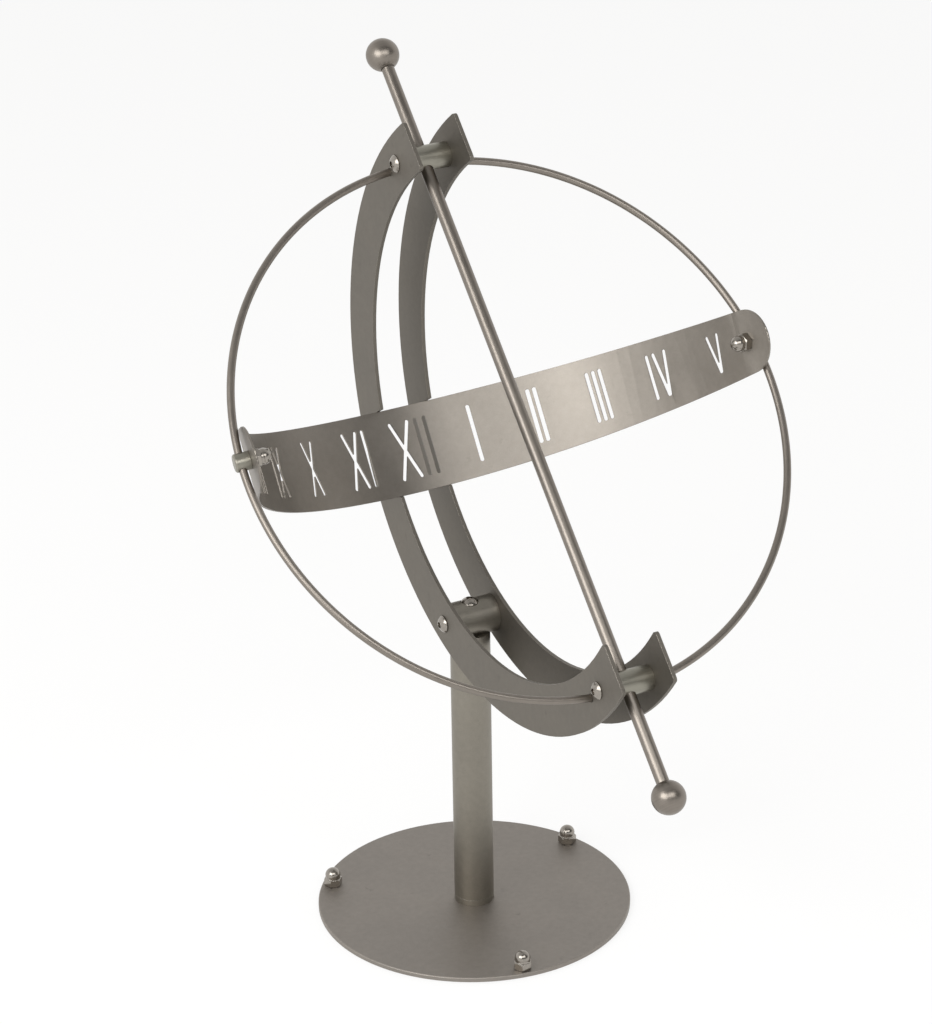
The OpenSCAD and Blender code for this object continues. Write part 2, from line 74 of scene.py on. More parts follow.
def linear(hex_colour):
    """Turns an sRGB hex value such as "#8a847d" into linear red, green, blue and alpha."""
    channels = [int(hex_colour[i:i + 2], 16) / 255 for i in (1, 3, 5)]
    light = [c / 12.92 if c <= 0.04045 else ((c + 0.055) / 1.055) ** 2.4 for c in channels]
    return (*light, 1.0)


print("mid grey #808080 in linear light:", round(linear("#808080")[0], 3))

# %% [markdown]
# A photograph taken from some way off shows a sundial with little perspective, so the
# camera stands about three metres away with a long lens. It could be placed by dragging
# it about, but a direction, a height angle and a distance from a point on the head say
# the same thing in a way that can be read and changed.

# %% Camera
VIEW_AZIMUTH = math.radians(27.4)
VIEW_ELEVATION = math.radians(24.8)
VIEW_ROLL = math.radians(-0.95)
VIEW_DISTANCE = 3015 * MM
AIM = Vector((-36, -66, 384)) * MM
LENS_MM = 139.8
SENSOR_MM = 36

view_direction = Vector((
    math.cos(VIEW_ELEVATION) * math.sin(VIEW_AZIMUTH),
    math.cos(VIEW_ELEVATION) * math.cos(VIEW_AZIMUTH),
    -math.sin(VIEW_ELEVATION),
))
camera_data = bpy.data.cameras.new("camera")
camera_data.lens = LENS_MM
camera_data.sensor_width = SENSOR_MM
camera = bpy.data.objects.new("camera", camera_data)
scene.collection.objects.link(camera)
camera.rotation_mode = "QUATERNION"
camera.location = AIM - view_direction * VIEW_DISTANCE
camera.rotation_quaternion = (
    view_direction.to_track_quat("-Z", "Y") @ Matrix.Rotation(VIEW_ROLL, 3, "Z").to_quaternion()
)
scene.camera = camera
print("camera stands", round(VIEW_DISTANCE, 2), "m from the head")

# %% [markdown]
# Node materials are built link by link. One helper adds a node, fills in its settings and
# joins its inputs, so that each material below reads as a list of what it is made of. The
# second helper tells rays that look at something from rays that only carry light to it.

# %% Node helper
def add_node(tree, kind, settings=None, inputs=None):
    """Adds a node. Settings are its properties, and an input is a value or another socket."""
    made = tree.nodes.new(kind)
    for name, value in (settings or {}).items():
        setattr(made, name, value)
    for name, value in (inputs or {}).items():
        if isinstance(value, bpy.types.NodeSocket):
            tree.links.new(value, made.inputs[name])
        else:
            made.inputs[name].default_value = value
    return made


def seen_directly(tree):
    """1 for rays from the camera, from a shiny surface or through glass, and 0 for the rest."""
    path = add_node(tree, "ShaderNodeLightPath")
    seen = add_node(tree, "ShaderNodeMath", {"operation": "MAXIMUM"},
                    {0: path.outputs["Is Camera Ray"], 1: path.outputs["Is Glossy Ray"]})
    seen = add_node(tree, "ShaderNodeMath", {"operation": "MAXIMUM"},
                    {0: seen.outputs["Value"], 1: path.outputs["Is Transmission Ray"]})
    return seen.outputs["Value"]


# %% [markdown]
# The studio has a white floor that runs on to the horizon. A matt floor alone renders as a
# pale grey, so where it is looked at it also glows a little, up to plain white. The glow
# is part of the floor's own material and not a lamp, so the sundial gets no light from it
# and its shadow stays on the floor. The floor lies a hair below the base plate, because
# two faces in one place would flicker.

# %% Floor
FLOOR_HALF_SIZE = 60
FLOOR_DROP = 0.2 * MM
FLOOR_GLOW = 0.75

floor_mesh = bpy.data.meshes.new("floor")
shape = bmesh.new()
bmesh.ops.create_grid(shape, x_segments=1, y_segments=1, size=FLOOR_HALF_SIZE)
shape.to_mesh(floor_mesh)
shape.free()
floor = bpy.data.objects.new("floor", floor_mesh)
floor.location.z = -FLOOR_DROP
scene.collection.objects.link(floor)

floor_material = bpy.data.materials.new("matt white studio floor")
floor_material.use_nodes = True
tree = floor_material.node_tree
tree.nodes.clear()
matt = add_node(tree, "ShaderNodeBsdfDiffuse", inputs={"Color": linear("#fbfaf8")})
glow = add_node(tree, "ShaderNodeEmission", inputs={"Color": linear("#ffffff"), "Strength": 1.0})
share = add_node(tree, "ShaderNodeMath", {"operation": "MULTIPLY"},
                 {0: seen_directly(tree), 1: FLOOR_GLOW})
surface = add_node(tree, "ShaderNodeMixShader", inputs={
    0: share.outputs["Value"], 1: matt.outputs["BSDF"], 2: glow.outputs["Emission"]})
add_node(tree, "ShaderNodeOutputMaterial", inputs={"Surface": surface.outputs["Shader"]})
floor_mesh.materials.append(floor_material)
print("floor is", 2 * FLOOR_HALF_SIZE, "m across")

# %% [markdown]
# Steel shows what stands round it. Behind the sundial the studio is white, towards the
# ceiling it is grey, and the room behind the camera, mostly to its right, is left dark
# above a low white backdrop. A ball then shows a bright rim, a dark crescent and, in its
# middle, the soft boxes. The light that the sky gives to matt surfaces is set apart from
# what is mirrored, so that lamps and sky together add up to white on the floor. Heights
# in the sky run from 0 at the horizon to 1 overhead.

# %% Sky
SKY_LIGHT = 0.92
CEILING_LEVEL = 0.60
CEILING_FROM = 0.40
CEILING_TO = 0.95
DARK_SIDE_AZIMUTH = VIEW_AZIMUTH - math.radians(22)
DARK_SIDE = (-math.sin(DARK_SIDE_AZIMUTH), -math.cos(DARK_SIDE_AZIMUTH), 0)
DARK_SIDE_LEVEL = 0.15
DARK_SIDE_SPREAD = 0.5
BACKDROP_FROM = 0.14
BACKDROP_TO = 0.28

world = bpy.data.worlds.new("studio sky")
scene.world = world
world.use_nodes = True
tree = world.node_tree
tree.nodes.clear()
direction = add_node(tree, "ShaderNodeTexCoord").outputs["Generated"]
height = add_node(tree, "ShaderNodeSeparateXYZ", inputs={"Vector": direction}).outputs["Z"]
shown = add_node(tree, "ShaderNodeMapRange", inputs={
    "Value": height, "From Min": CEILING_FROM, "From Max": CEILING_TO,
    "To Min": 1.0, "To Max": CEILING_LEVEL})
strength = add_node(tree, "ShaderNodeMix", {"data_type": "FLOAT"}, {
    "Factor": seen_directly(tree), 2: SKY_LIGHT, 3: shown.outputs["Result"]})
turned_away = add_node(tree, "ShaderNodeVectorMath", {"operation": "DOT_PRODUCT"},
                       {0: direction, 1: DARK_SIDE})
side = add_node(tree, "ShaderNodeMapRange", {"interpolation_type": "SMOOTHSTEP"}, {
    "Value": turned_away.outputs["Value"], "From Min": 0.0, "From Max": DARK_SIDE_SPREAD,
    "To Min": 0.0, "To Max": DARK_SIDE_LEVEL - 1})
above_backdrop = add_node(tree, "ShaderNodeMapRange", inputs={
    "Value": height, "From Min": BACKDROP_FROM, "From Max": BACKDROP_TO,
    "To Min": 0.0, "To Max": 1.0})
kept = add_node(tree, "ShaderNodeMath", {"operation": "MULTIPLY_ADD"},
                {0: side.outputs["Result"], 1: above_backdrop.outputs["Result"], 2: 1.0})
strength = add_node(tree, "ShaderNodeMath", {"operation": "MULTIPLY"},
                    {0: strength.outputs[0], 1: kept.outputs["Value"]})
sky = add_node(tree, "ShaderNodeBackground",
               inputs={"Color": linear("#ffffff"), "Strength": strength.outputs["Value"]})
add_node(tree, "ShaderNodeOutputWorld", inputs={"Surface": sky.outputs["Background"]})
print("sky is white at the horizon and", CEILING_LEVEL, "overhead")

# %% [markdown]
# Two soft boxes shape the steel. The larger one stands to the left of the camera and a
# little higher, where the hour band's afternoon side and the rod's left flank both mirror
# it. The wide one hangs above the camera and lights what faces it: the noon mark, the post
# and the cross bars. A lamp's brightness is its power over its area, so a large box needs
# more watts for the same shine.

# %% Lamps
LAMP_DISTANCE = 3.5


def soft_box(name, direction, size, power):
    """Area lamp that looks at the head from a direction given as x, y and z."""
    lamp_data = bpy.data.lights.new(name, "AREA")
    lamp_data.shape = "RECTANGLE"
    lamp_data.size, lamp_data.size_y = size
    lamp_data.energy = power
    lamp = bpy.data.objects.new(name, lamp_data)
    scene.collection.objects.link(lamp)
    lamp.visible_camera = False
    towards = Vector(direction).normalized()
    lamp.location = AIM + towards * LAMP_DISTANCE
    lamp.rotation_mode = "QUATERNION"
    lamp.rotation_quaternion = towards.to_track_quat("Z", "Y")
    print(name, "gives", power, "W over", size, "m")


soft_box("side soft box", (-0.78, -0.36, 0.51), (2.7, 1.9), 72)
soft_box("front soft box", (-0.08, -0.75, 0.64), (3.0, 1.5), 43)

# %% [markdown]
# The head is tilted to the latitude, so its parts are easiest to make in the head's own
# directions: x to the east, y up along the rod, and z back from the noon mark. One matrix
# then puts a piece that is drawn like this into its place above the post. The values are
# those of the construction.

# %% The head's own directions
PIVOT_HEIGHT = 257.5
LATITUDE = math.radians(45)
PIVOT_RADIUS = 222
PIVOT_TURN = math.radians(22)
PLATE_CENTRE_OFFSET = 4

HEAD = (
    Matrix.Translation((0, 0, PIVOT_HEIGHT))
    @ Matrix.Rotation(LATITUDE, 4, "X")
    @ Matrix.Translation((0, PIVOT_RADIUS * math.sin(PIVOT_TURN),
                          PLATE_CENTRE_OFFSET + PIVOT_RADIUS * math.cos(PIVOT_TURN)))
)
print("the ring's centre is at", [round(v, 1) for v in HEAD.translation], "mm")

# %% [markdown]
# Rod, balls, cap nuts and screws are all turned on a lathe. Blender's spin does the same:
# it sweeps a half profile once round an axis. A primitive would give the bare form, but a
# profile can also have the small chamfers that a turner leaves. The points on the axis
# come out many times over, so they are merged before the faces are made to look outwards.

# %% Lathe
ROUND_STEPS = 72
SAME_POINT = 1e-4


def lathe(profile, steps=ROUND_STEPS):
    """Spins a profile of radius and height, in mm, round the Z axis."""
    turned = bmesh.new()
    points = [turned.verts.new((radius, 0, height)) for radius, height in profile]
    for start, end in zip(points, points[1:]):
        turned.edges.new((start, end))
    bmesh.ops.spin(turned, geom=turned.verts[:] + turned.edges[:], axis=(0, 0, 1),
                   cent=(0, 0, 0), angle=2 * math.pi, steps=steps, use_merge=True)
    bmesh.ops.remove_doubles(turned, verts=turned.verts, dist=SAME_POINT)
    bmesh.ops.recalc_face_normals(turned, faces=turned.faces)
    return turned


# %% [markdown]
# Each new piece stands for one piece of the construction, which is then hidden, and rides
# on the same body. Its object stays at the origin and its place is in its mesh. Smooth
# shading blends the facets into one surface, and edges sharper than 28 degrees stay crisp.
# The print counts open edges too, because a solid piece should have none.

# %% New pieces
CRISP_FROM = math.radians(28)
new_pieces = []


def add_piece(name, shape, node):
    """Turns a shape in mm into an object that rides with a CAD node's body and replaces it."""
    bmesh.ops.scale(shape, vec=(MM, MM, MM), verts=shape.verts)
    open_edges = sum(not edge.is_manifold for edge in shape.edges)
    mesh = bpy.data.meshes.new(name)
    shape.to_mesh(mesh)
    shape.free()
    mesh.shade_smooth()
    mesh.set_sharp_from_angle(angle=CRISP_FROM)
    piece = bpy.data.objects.new(name, mesh)
    scene.collection.objects.link(piece)
    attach(piece, BODY_OF[node])
    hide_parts(node)
    new_pieces.append((piece, node))
    print(name, "has", len(mesh.polygons), "faces and", open_edges, "open edges")
    return piece


# %% [markdown]
# The shadow rod is a ground bar of 10 mm. Its ends sit inside the balls, with a small
# chamfer that lets them slide in.

# %% Shadow rod
ROD_RADIUS = 5
ROD_HALF_LENGTH = 314
ROD_CHAMFER = 0.5

rod_shape = lathe([
    (0, -ROD_HALF_LENGTH), (ROD_RADIUS - ROD_CHAMFER, -ROD_HALF_LENGTH),
    (ROD_RADIUS, -ROD_HALF_LENGTH + ROD_CHAMFER), (ROD_RADIUS, ROD_HALF_LENGTH - ROD_CHAMFER),
    (ROD_RADIUS - ROD_CHAMFER, ROD_HALF_LENGTH), (0, ROD_HALF_LENGTH),
])
ALONG_ROD = Matrix.Rotation(math.radians(-90), 4, "X")
bmesh.ops.transform(rod_shape, matrix=HEAD @ ALONG_ROD, verts=rod_shape.verts)
rod = add_piece("shadow_rod", rod_shape, "gnomon_rod")

# %% [markdown]
# Each ball is turned from bar and drilled from one side for the rod. The profile starts
# at the bottom of the hole, comes out past a chamfer at its mouth and follows the ball
# round to the far pole. The same shape is used at both ends, the lower one turned about.

# %% Balls
BALL_RADIUS = 13
BALL_REACH = 311
BALL_ARC_STEPS = 48
BALL_ROUND_STEPS = 80
HOLE_RADIUS = 5.05
HOLE_DEPTH_PAST_CENTRE = 3.1
HOLE_CHAMFER = 0.5


def ball_shape():
    mouth_angle = math.asin((HOLE_RADIUS + HOLE_CHAMFER) / BALL_RADIUS)
    mouth_z = -BALL_RADIUS * math.cos(mouth_angle)
    profile = [(0, HOLE_DEPTH_PAST_CENTRE), (HOLE_RADIUS, HOLE_DEPTH_PAST_CENTRE),
               (HOLE_RADIUS, mouth_z + HOLE_CHAMFER)]
    for i in range(BALL_ARC_STEPS + 1):
        angle = mouth_angle + (math.pi - mouth_angle) * i / BALL_ARC_STEPS
        profile.append((max(0.0, BALL_RADIUS * math.sin(angle)), -BALL_RADIUS * math.cos(angle)))
    return lathe(profile, BALL_ROUND_STEPS)


balls = []
for name, node, end in (("upper_end_ball", "upper_ball", 1), ("lower_end_ball", "lower_ball", -1)):
    shape = ball_shape()
    place = HEAD @ Matrix.Translation((0, end * BALL_REACH, 0)) @ Matrix.Rotation(
        math.radians(-90 * end), 4, "X")
    bmesh.ops.transform(shape, matrix=place, verts=shape.verts)
    balls.append(add_piece(name, shape, node))

# %% [markdown]
# The half rings are 6 mm wire, rolled to a radius of 221.5 mm, whose ends pass through
# the plates. A curve with a bevel depth would do, but spinning a circle round the ring's
# centre gives an exact arc. Each point also remembers where it would be on the straight
# wire, before rolling, so that the drawing lines can later follow the bend.

# %% Half rings
WIRE_RADIUS = 3
WIRE_SIDES = 32
RING_RADIUS = 221.5
RING_BACK = 15
RING_STEPS = 220
PLATE_GAP_HALF = 20

end_turn = math.asin(PLATE_GAP_HALF / RING_RADIUS)
wires = []
for name, node, middle in (("east_ring_wire", "east_half_ring", 0.0),
                           ("west_ring_wire", "west_half_ring", math.pi)):
    shape = bmesh.new()
    across = Matrix.Translation((RING_RADIUS, 0, 0)) @ Matrix.Rotation(math.radians(90), 4, "X")
    bmesh.ops.create_circle(shape, segments=WIRE_SIDES, radius=WIRE_RADIUS, matrix=across)
    start = Matrix.Rotation(middle - math.pi / 2 + end_turn, 4, "Z")
    bmesh.ops.transform(shape, matrix=start, verts=shape.verts)
    bmesh.ops.spin(shape, geom=shape.verts[:] + shape.edges[:], axis=(0, 0, 1), cent=(0, 0, 0),
                   angle=math.pi - 2 * end_turn, steps=RING_STEPS)
    bmesh.ops.holes_fill(shape, edges=[e for e in shape.edges if e.is_boundary], sides=0)
    bmesh.ops.recalc_face_normals(shape, faces=shape.faces)
    unrolled = [((Vector(v.co[:2]).length - RING_RADIUS) * MM, v.co.z * MM,
                 math.atan2(v.co.y * math.cos(middle), v.co.x * math.cos(middle))
                 * RING_RADIUS * MM) for v in shape.verts]
    place = HEAD @ Matrix.Translation((0, 0, -RING_BACK))
    bmesh.ops.transform(shape, matrix=place, verts=shape.verts)
    wire = add_piece(name, shape, node)
    straight = wire.data.attributes.new("straight_wire", "FLOAT_VECTOR", "POINT")
    for point, position in zip(straight.data, unrolled):
        point.vector = position
    wires.append(wire)

# %% [markdown]
# A cap nut is turned first, hexagon part and dome in one, with the 30 degree chamfers that
# leave curved corners on every real nut. Then six flats are cut. Six planes do that here:
# each bisects the shape, throws away what is outside, and the hole is filled. Cutting a
# hexagon by hand and bevelling it would give straight corners, which catch the light
# wrongly.

# %% Cap nut
NUT_FLATS = 13
NUT_HEXAGON = 6.5
NUT_HEIGHT = 15
NUT_CHAMFER = 1.35
NUT_CHAMFER_ANGLE = math.radians(30)
NUT_NECK_INSET = 0.2
NUT_NECK_FOOT = 0.1
NUT_NECK_FOOT_RISE = 0.3
NUT_NECK_SHORTER = 0.4
NUT_DOME_RADIUS = 6.25
NUT_DOME_STEPS = 20
NUT_BORE_RADIUS = 4.05
NUT_BORE_DEPTH = 10.5
NUT_BORE_CHAMFER = 0.5
ON_PLANE = 1e-5


def cap_nut_shape():
    corner = NUT_FLATS / math.sqrt(3)
    rise = NUT_CHAMFER * math.tan(NUT_CHAMFER_ANGLE)
    neck = NUT_DOME_RADIUS - NUT_NECK_INSET
    dome_base = NUT_HEIGHT - NUT_DOME_RADIUS
    profile = [(0, NUT_BORE_DEPTH), (NUT_BORE_RADIUS, NUT_BORE_DEPTH),
               (NUT_BORE_RADIUS, NUT_BORE_CHAMFER), (NUT_BORE_RADIUS + NUT_BORE_CHAMFER, 0),
               (corner - NUT_CHAMFER, 0), (corner, rise),
               (corner, NUT_HEXAGON - rise), (corner - NUT_CHAMFER, NUT_HEXAGON),
               (neck + NUT_NECK_FOOT, NUT_HEXAGON), (neck, NUT_HEXAGON + NUT_NECK_FOOT_RISE),
               (neck, dome_base - NUT_NECK_SHORTER)]
    for i in range(NUT_DOME_STEPS + 1):
        angle = math.pi / 2 * i / NUT_DOME_STEPS
        profile.append((NUT_DOME_RADIUS * math.cos(angle) if i < NUT_DOME_STEPS else 0.0,
                        dome_base + NUT_DOME_RADIUS * math.sin(angle)))
    nut = lathe(profile)
    for flat in range(6):
        turn = math.radians(60 * flat + 30)
        outwards = Vector((math.cos(turn), math.sin(turn), 0))
        cut = bmesh.ops.bisect_plane(
            nut, geom=nut.verts[:] + nut.edges[:] + nut.faces[:], dist=ON_PLANE,
            plane_co=outwards * NUT_FLATS / 2, plane_no=outwards, clear_outer=True)
        rim = [e for e in cut["geom_cut"] if isinstance(e, bmesh.types.BMEdge)]
        bmesh.ops.holes_fill(nut, edges=rim, sides=0)
    bmesh.ops.recalc_face_normals(nut, faces=nut.faces)
    return nut


# %% [markdown]
# Nuts and screws come in sets, and the construction keeps each set as one piece. Copies
# of one object would do, but then several pieces would stand for one. So a helper makes a
# fresh fastener for each place, moves it there and gathers the set in one mesh.

# %% Sets of fasteners
def add_fasteners(name, places, node, make_shape, *sizes):
    """Puts one nut or screw at each place, all in one piece."""
    together = bmesh.new()
    for place in places:
        fastener = make_shape(*sizes)
        bmesh.ops.transform(fastener, matrix=place, verts=fastener.verts)
        part = bpy.data.meshes.new("one fastener")
        fastener.to_mesh(part)
        fastener.free()
        together.from_mesh(part)
        bpy.data.meshes.remove(part)
    return add_piece(name, together, node)


# %% [markdown]
# Three cap nuts stand on the base plate, a third of a turn apart. Their screws come up
# through the plate from countersinks below. Nobody lines up the flats of such nuts, so
# each one is twisted by another 15 degrees.

# %% Nuts on the base
BASE_THICKNESS = 4
BASE_SCREW_RADIUS = 118
BASE_SCREW_TURN = 21
BASE_SCREW_STEP = 120
NUT_TWIST = 12
NUT_TWIST_STEP = 15

base_places = [
    Matrix.Rotation(math.radians(BASE_SCREW_TURN + BASE_SCREW_STEP * number), 4, "Z")
    @ Matrix.Translation((BASE_SCREW_RADIUS, 0, BASE_THICKNESS))
    @ Matrix.Rotation(math.radians(NUT_TWIST + NUT_TWIST_STEP * number), 4, "Z")
    for number in range(3)
]
base_nuts = add_fasteners("base_nut_set", base_places, "base_cap_nuts", cap_nut_shape)

# %% [markdown]
# Button-head screws hold the cross bars and the pivot bar. Head and shank are turned in
# one, with the dome left open at its top. The hexagon socket is then made as it is
# drilled and broached: a hexagon is laid on the dome and bridged to the open rim, its
# edges are extruded down, and the bottom is filled. A Boolean would cut the same hole but
# leaves thin faces that shade badly on a dome.

# %% Button-head screw
BUTTON_RADIUS = 7
BUTTON_HEIGHT = 4.4
BUTTON_EDGE = 0.8
BUTTON_RISE = BUTTON_HEIGHT - BUTTON_EDGE
BUTTON_DOME_RADIUS = (BUTTON_RADIUS ** 2 + BUTTON_RISE ** 2) / (2 * BUTTON_RISE)
BUTTON_DOME_STEPS = 16
BUTTON_CHAMFER = 0.2
SHANK_RADIUS = 4
SHANK_CHAMFER = 0.5
SOCKET_FLATS = 5
SOCKET_DEPTH = 2.5
SOCKET_RIM = 0.35


def dome_height(radius):
    return BUTTON_HEIGHT - BUTTON_DOME_RADIUS + math.sqrt(BUTTON_DOME_RADIUS ** 2 - radius ** 2)


def button_screw_shape(length):
    corner = SOCKET_FLATS / math.sqrt(3)
    mouth = corner + SOCKET_RIM
    profile = [(0, -length), (SHANK_RADIUS - SHANK_CHAMFER, -length),
               (SHANK_RADIUS, SHANK_CHAMFER - length), (SHANK_RADIUS, 0),
               (BUTTON_RADIUS - BUTTON_CHAMFER, 0), (BUTTON_RADIUS, BUTTON_CHAMFER)]
    for i in range(BUTTON_DOME_STEPS + 1):
        radius = BUTTON_RADIUS + (mouth - BUTTON_RADIUS) * i / BUTTON_DOME_STEPS
        profile.append((radius, dome_height(radius)))
    screw = lathe(profile)
    rim = [e for e in screw.edges if e.is_boundary]
    bmesh.ops.create_circle(screw, segments=6, radius=corner)
    bmesh.ops.subdivide_edges(screw, edges=[e for e in screw.edges if e.is_wire],
                              cuts=ROUND_STEPS // 6 - 1)
    hexagon = [e for e in screw.edges if e.is_wire]
    for point in {v for e in hexagon for v in e.verts}:
        point.co.z = dome_height(point.co.xy.length)
    bmesh.ops.bridge_loops(screw, edges=rim + hexagon)
    sunk = bmesh.ops.extrude_edge_only(screw, edges=[e for e in screw.edges if e.is_boundary])
    for point in sunk["geom"]:
        if isinstance(point, bmesh.types.BMVert):
            point.co.z = BUTTON_HEIGHT - SOCKET_DEPTH
    bmesh.ops.holes_fill(screw, edges=[e for e in screw.edges if e.is_boundary], sides=0)
    bmesh.ops.recalc_face_normals(screw, faces=screw.faces)
    return screw


# %% [markdown]
# One long screw goes down through the pivot bar into the post. Its head sits on a flat
# that is milled in the round bar and is as wide as the head. Two short ones are the pivot
# that the plates turn on, with a little room under their heads. Four more hold the cross
# bars between the plates.

# %% Button-head screws in their places
PIVOT_BAR_RADIUS = 15
PLATE_OUTER_X = 23
CROSS_BAR_REACH = 219.96
PIVOT_HEAD_GAP = 0.1
TOP_SCREW_LENGTH = 48.3
SIDE_SCREW_LENGTH = 16.1
BAR_SCREW_LENGTH = 17.9

SIDES = (-1, 1)
OUTWARDS = {side: Matrix.Rotation(math.radians(90 * side), 4, "Y") for side in SIDES}
top_seat = PIVOT_HEIGHT + math.sqrt(PIVOT_BAR_RADIUS ** 2 - BUTTON_RADIUS ** 2)
top_places = [Matrix.Translation((0, 0, top_seat))]
pivot_places = [
    Matrix.Translation((side * (PLATE_OUTER_X + PIVOT_HEAD_GAP), 0, PIVOT_HEIGHT)) @ OUTWARDS[side]
    for side in SIDES]
bar_places = [
    HEAD @ Matrix.Translation((side * PLATE_OUTER_X, end * CROSS_BAR_REACH, 0)) @ OUTWARDS[side]
    for end in SIDES for side in SIDES]
screws = [
    add_fasteners("top_screw", top_places, "pivot_top_screw",
                  button_screw_shape, TOP_SCREW_LENGTH),
    add_fasteners("side_screw_pair", pivot_places, "pivot_side_screws",
                  button_screw_shape, SIDE_SCREW_LENGTH),
    add_fasteners("bar_screw_set", bar_places, "cross_bar_screws",
                  button_screw_shape, BAR_SCREW_LENGTH),
]

# %% [markdown]
# The hour band is rolled to a tight arc in the middle and to a wider one towards each end,
# and it is tilted and rolled a little in the head. The middle arc passes through the noon
# mark, the arcs meet smoothly, and their ends lie a given distance inside the ring. That
# makes two equations for two radii. In the band's own space x runs to the east and y out
# to the noon mark.

# %% Arcs of the hour band
BAND_NOON = 200
BAND_THICKNESS = 1.5
BAND_TO_RING = 7.6
BAND_ARC = math.radians(49)
BAND_END = math.radians(76)
BAND_TILT = math.radians(12.2)
BAND_ROLL = math.radians(0.75)
BAND_SHIFT = Vector((0, 17.5, -1))

cross_out = (RING_BACK + BAND_SHIFT.z) / math.cos(BAND_TILT)
cross_up = BAND_SHIFT.y + cross_out * math.sin(BAND_TILT)
cross_east = math.sqrt(RING_RADIUS ** 2 - cross_up ** 2)
end_east = cross_east - BAND_TO_RING * math.sin(BAND_END)
end_out = cross_out - BAND_TO_RING * math.cos(BAND_END)
middle_east = math.sin(BAND_ARC)
middle_out = 1 - math.cos(BAND_ARC)
side_east = math.sin(BAND_END) - middle_east
side_out = math.cos(BAND_ARC) - math.cos(BAND_END)
divisor = middle_east * side_out - side_east * middle_out
middle_radius = (end_east * side_out - (BAND_NOON - end_out) * side_east) / divisor
side_radius = ((BAND_NOON - end_out) * middle_east - end_east * middle_out) / divisor
middle_centre_out = BAND_NOON - middle_radius
side_centre_east = (middle_radius - side_radius) * math.sin(BAND_ARC)
side_centre_out = middle_centre_out + (middle_radius - side_radius) * math.cos(BAND_ARC)
BAND = (HEAD @ Matrix.Translation(BAND_SHIFT) @ Matrix.Rotation(BAND_TILT, 4, "X")
        @ Matrix.Rotation(BAND_ROLL, 4, "Z") @ Matrix.Rotation(math.radians(-90), 4, "X"))
print("the band's arcs have radii of", round(middle_radius, 1), "and", round(side_radius, 1), "mm")

# %% [markdown]
# The band's outline and its cut-out hours are the construction's own. But that mesh is
# made of flat facets, and on blasted sheet each of them would show as a stripe of its own
# tone. So a copy is merged, and every corner on the two curved sides gets the exact
# direction of a rolled sheet, straight away from the centre of its arc. A face belongs to
# a curved side where the two directions agree, with a cosine above 0.98. A finer mesh
# would need the hours to be cut out once more.

# %% Hour band
MERGE_BELOW = 0.001 * MM
AGREES_ABOVE = 0.98


def away_from_arc(point):
    """Unit direction straight out of the band's curve, for a point in the band's own space."""
    if abs(point.x) < middle_radius * math.sin(BAND_ARC):
        out = Vector((point.x, point.y - middle_centre_out, 0))
    else:
        out = Vector((point.x - math.copysign(side_centre_east, point.x),
                      point.y - side_centre_out, 0))
    return out.normalized()


shape = bmesh.new()
shape.from_mesh(nodes["hour_band"].data)
bmesh.ops.transform(shape, matrix=nodes["hour_band"].matrix_world, verts=shape.verts)
bmesh.ops.remove_doubles(shape, verts=shape.verts, dist=MERGE_BELOW)
bmesh.ops.scale(shape, vec=(1 / MM, 1 / MM, 1 / MM), verts=shape.verts)
band = add_piece("hour_band_sheet", shape, "hour_band")
band_mesh = band.data
if "custom_normal" in band_mesh.attributes:
    band_mesh.attributes.remove(band_mesh.attributes["custom_normal"])
into_band = BAND.inverted()
turn_back = BAND.to_3x3()
corners = [corner.vector.copy() for corner in band_mesh.corner_normals]
rolled = 0
for polygon in band_mesh.polygons:
    for corner in polygon.loop_indices:
        vertex = band_mesh.vertices[band_mesh.loops[corner].vertex_index]
        out = turn_back @ away_from_arc(into_band @ (vertex.co / MM))
        facing = polygon.normal.dot(out)
        if abs(facing) > AGREES_ABOVE:
            corners[corner] = out * math.copysign(1, facing)
            rolled += 1
band_mesh.normals_split_custom_set(corners)
print(rolled, "of", len(corners), "corners of the band lie on its rolled sides")

# %% [markdown]
# The clamp bolts pass through the band where the half rings cross it, so the places of
# the nuts inside it follow from the same arcs. A nut sits on the band's inner side, with
# its dome towards the middle of the head.

# %% Nuts inside the hour band
band_places = []
for side in SIDES:
    roll_lift = side * RING_RADIUS * math.sin(BAND_ROLL)
    clamp_out = (RING_BACK + BAND_SHIFT.z + roll_lift * math.sin(BAND_TILT)) / math.cos(BAND_TILT)
    clamp_up = BAND_SHIFT.y + roll_lift * math.cos(BAND_TILT) + clamp_out * math.sin(BAND_TILT)
    clamp_east = math.sqrt(RING_RADIUS ** 2 - clamp_up ** 2) / math.cos(BAND_ROLL)
    turn = math.atan2(clamp_east - side_centre_east, clamp_out - side_centre_out)
    band_places.append(
        BAND @ Matrix.Translation((side * side_centre_east, side_centre_out, 0))
        @ Matrix.Rotation(-side * turn, 4, "Z") @ Matrix.Rotation(math.radians(-90), 4, "X")
        @ Matrix.Translation((0, 0, side_radius - BAND_THICKNESS / 2))
        @ Matrix.Rotation(math.pi, 4, "X"))
band_nuts = add_fasteners("band_nut_set", band_places, "band_cap_nuts", cap_nut_shape)

# %% [markdown]
# A piece that stands for another has to be where that one is. The boxes of the two are
# compared here, which would show at once if a size or a matrix above were wrong. The rod
# differs by the chamfers on its hidden ends and the base nuts by the twist of their flats,
# each by less than a millimetre.

# %% Compare with the construction
for piece, node in new_pieces:
    spans = zip(*(vertex.co for vertex in piece.data.vertices))
    off = max(max(abs(min(span) - low), abs(max(span) - high))
              for span, low, high in zip(spans, *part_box(node)))
    print(piece.name, "lies within", round(off / MM, 2), "mm of its node")

